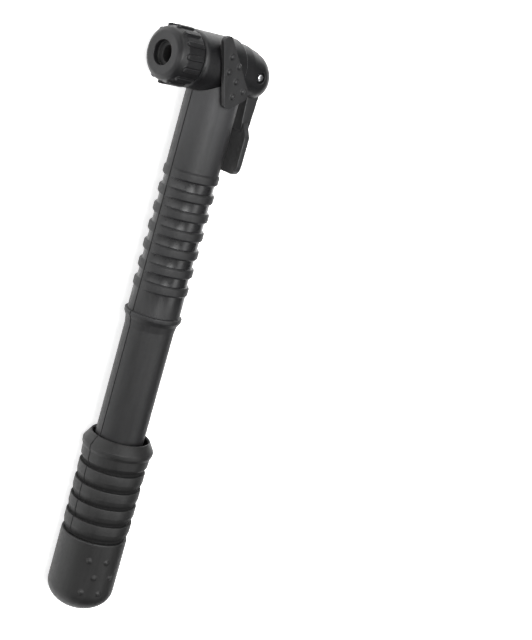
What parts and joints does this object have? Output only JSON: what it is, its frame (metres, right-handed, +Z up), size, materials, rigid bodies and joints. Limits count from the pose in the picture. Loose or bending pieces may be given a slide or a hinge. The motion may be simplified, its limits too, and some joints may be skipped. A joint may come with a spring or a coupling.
{
  "type": "mini pump",
  "caption": "Bicycle mini pump: ribbed barrel that telescopes out of a ringed tubular handle, with a cross-set valve head, knurled screw cap and folding lock lever.",
  "frame": {"origin": "middle of the underside of the pump's box, so the pump lies on z = 0", "axes": "+X runs along the barrel from the handle to the head, +Y is the way the valve opening faces, +Z is up, along the lever's pin"},
  "size_m": [0.22, 0.0492, 0.0268],
  "materials": {
    "black_plastic": "satin",
    "satin_plastic": "fine matte",
    "inner_plastic": "satin",
    "rubber": "matte",
    "steel": "bright",
    "aluminium": "drawn",
    "brass": "turned",
    "felt": "fibrous"
  },
  "bodies": {
    "pump": {"head_body": "black_plastic", "side_plate": "satin_plastic", "lever_pin": "steel", "barrel_tube": "black_plastic", "barrel_seal": "rubber", "rod_guide": "inner_plastic", "rod_wiper": "felt", "valve_seat": "brass", "check_spring": "steel"},
    "check_ball": {"check_ball": "steel"},
    "lever": {"lock_lever": "black_plastic"},
    "plunger": {"cam_plunger": "inner_plastic", "plunger_seal": "rubber", "pin_depressor": "brass"},
    "grommet": {"valve_grommet": "rubber"},
    "cap": {"valve_cap": "black_plastic"},
    "piston": {"piston": "inner_plastic", "piston_cup": "rubber"},
    "handle": {"piston_washer": "steel", "piston_screw": "steel", "piston_rod": "aluminium", "handle_sleeve": "black_plastic", "handle_end_cap": "black_plastic", "rod_insert": "brass", "bump_ring": "rubber"}
  },
  "joints": [
    {"name": "piston_slide", "type": "slide", "parent": "pump", "child": "piston", "axis": [-1, 0, 0], "range_m": [0, 0.1495]},
    {"name": "handle_turn", "type": "hinge", "parent": "piston", "child": "handle", "pos_m": [-0.10152, -0.00383, 0.01338], "axis": [1, 0, 0], "continuous": true},
    {"name": "cap_lift", "type": "slide", "parent": "pump", "child": "grommet", "axis": [0, 1, 0], "range_m": [0, 0.00305]},
    {"name": "cap_turn", "type": "hinge", "parent": "grommet", "child": "cap", "pos_m": [0.09898, 0.02457, 0.01338], "axis": [0, 1, 0], "range_deg": [0, 720]},
    {"name": "lever_turn", "type": "hinge", "parent": "pump", "child": "lever", "pos_m": [0.09818, -0.01583, 0.01338], "axis": [0, 0, 1], "range_deg": [0, 90]},
    {"name": "plunger_slide", "type": "slide", "parent": "pump", "child": "plunger", "axis": [0, 1, 0], "range_m": [0, 0.00151]},
    {"name": "check_ball_lift", "type": "slide", "parent": "pump", "child": "check_ball", "axis": [1, 0, 0], "range_m": [0, 0.0006], "stiffness_N_per_m": 60, "springref_m": -0.001, "deforming": ["check_spring"]}
  ],
  "couplings": [
    {"joint": "cap_lift", "follows": "cap_turn", "m_per_rad": 0.00023873},
    {"joint": "plunger_slide", "follows": "lever_turn", "m_per_rad": 0.00095493}
  ]
}
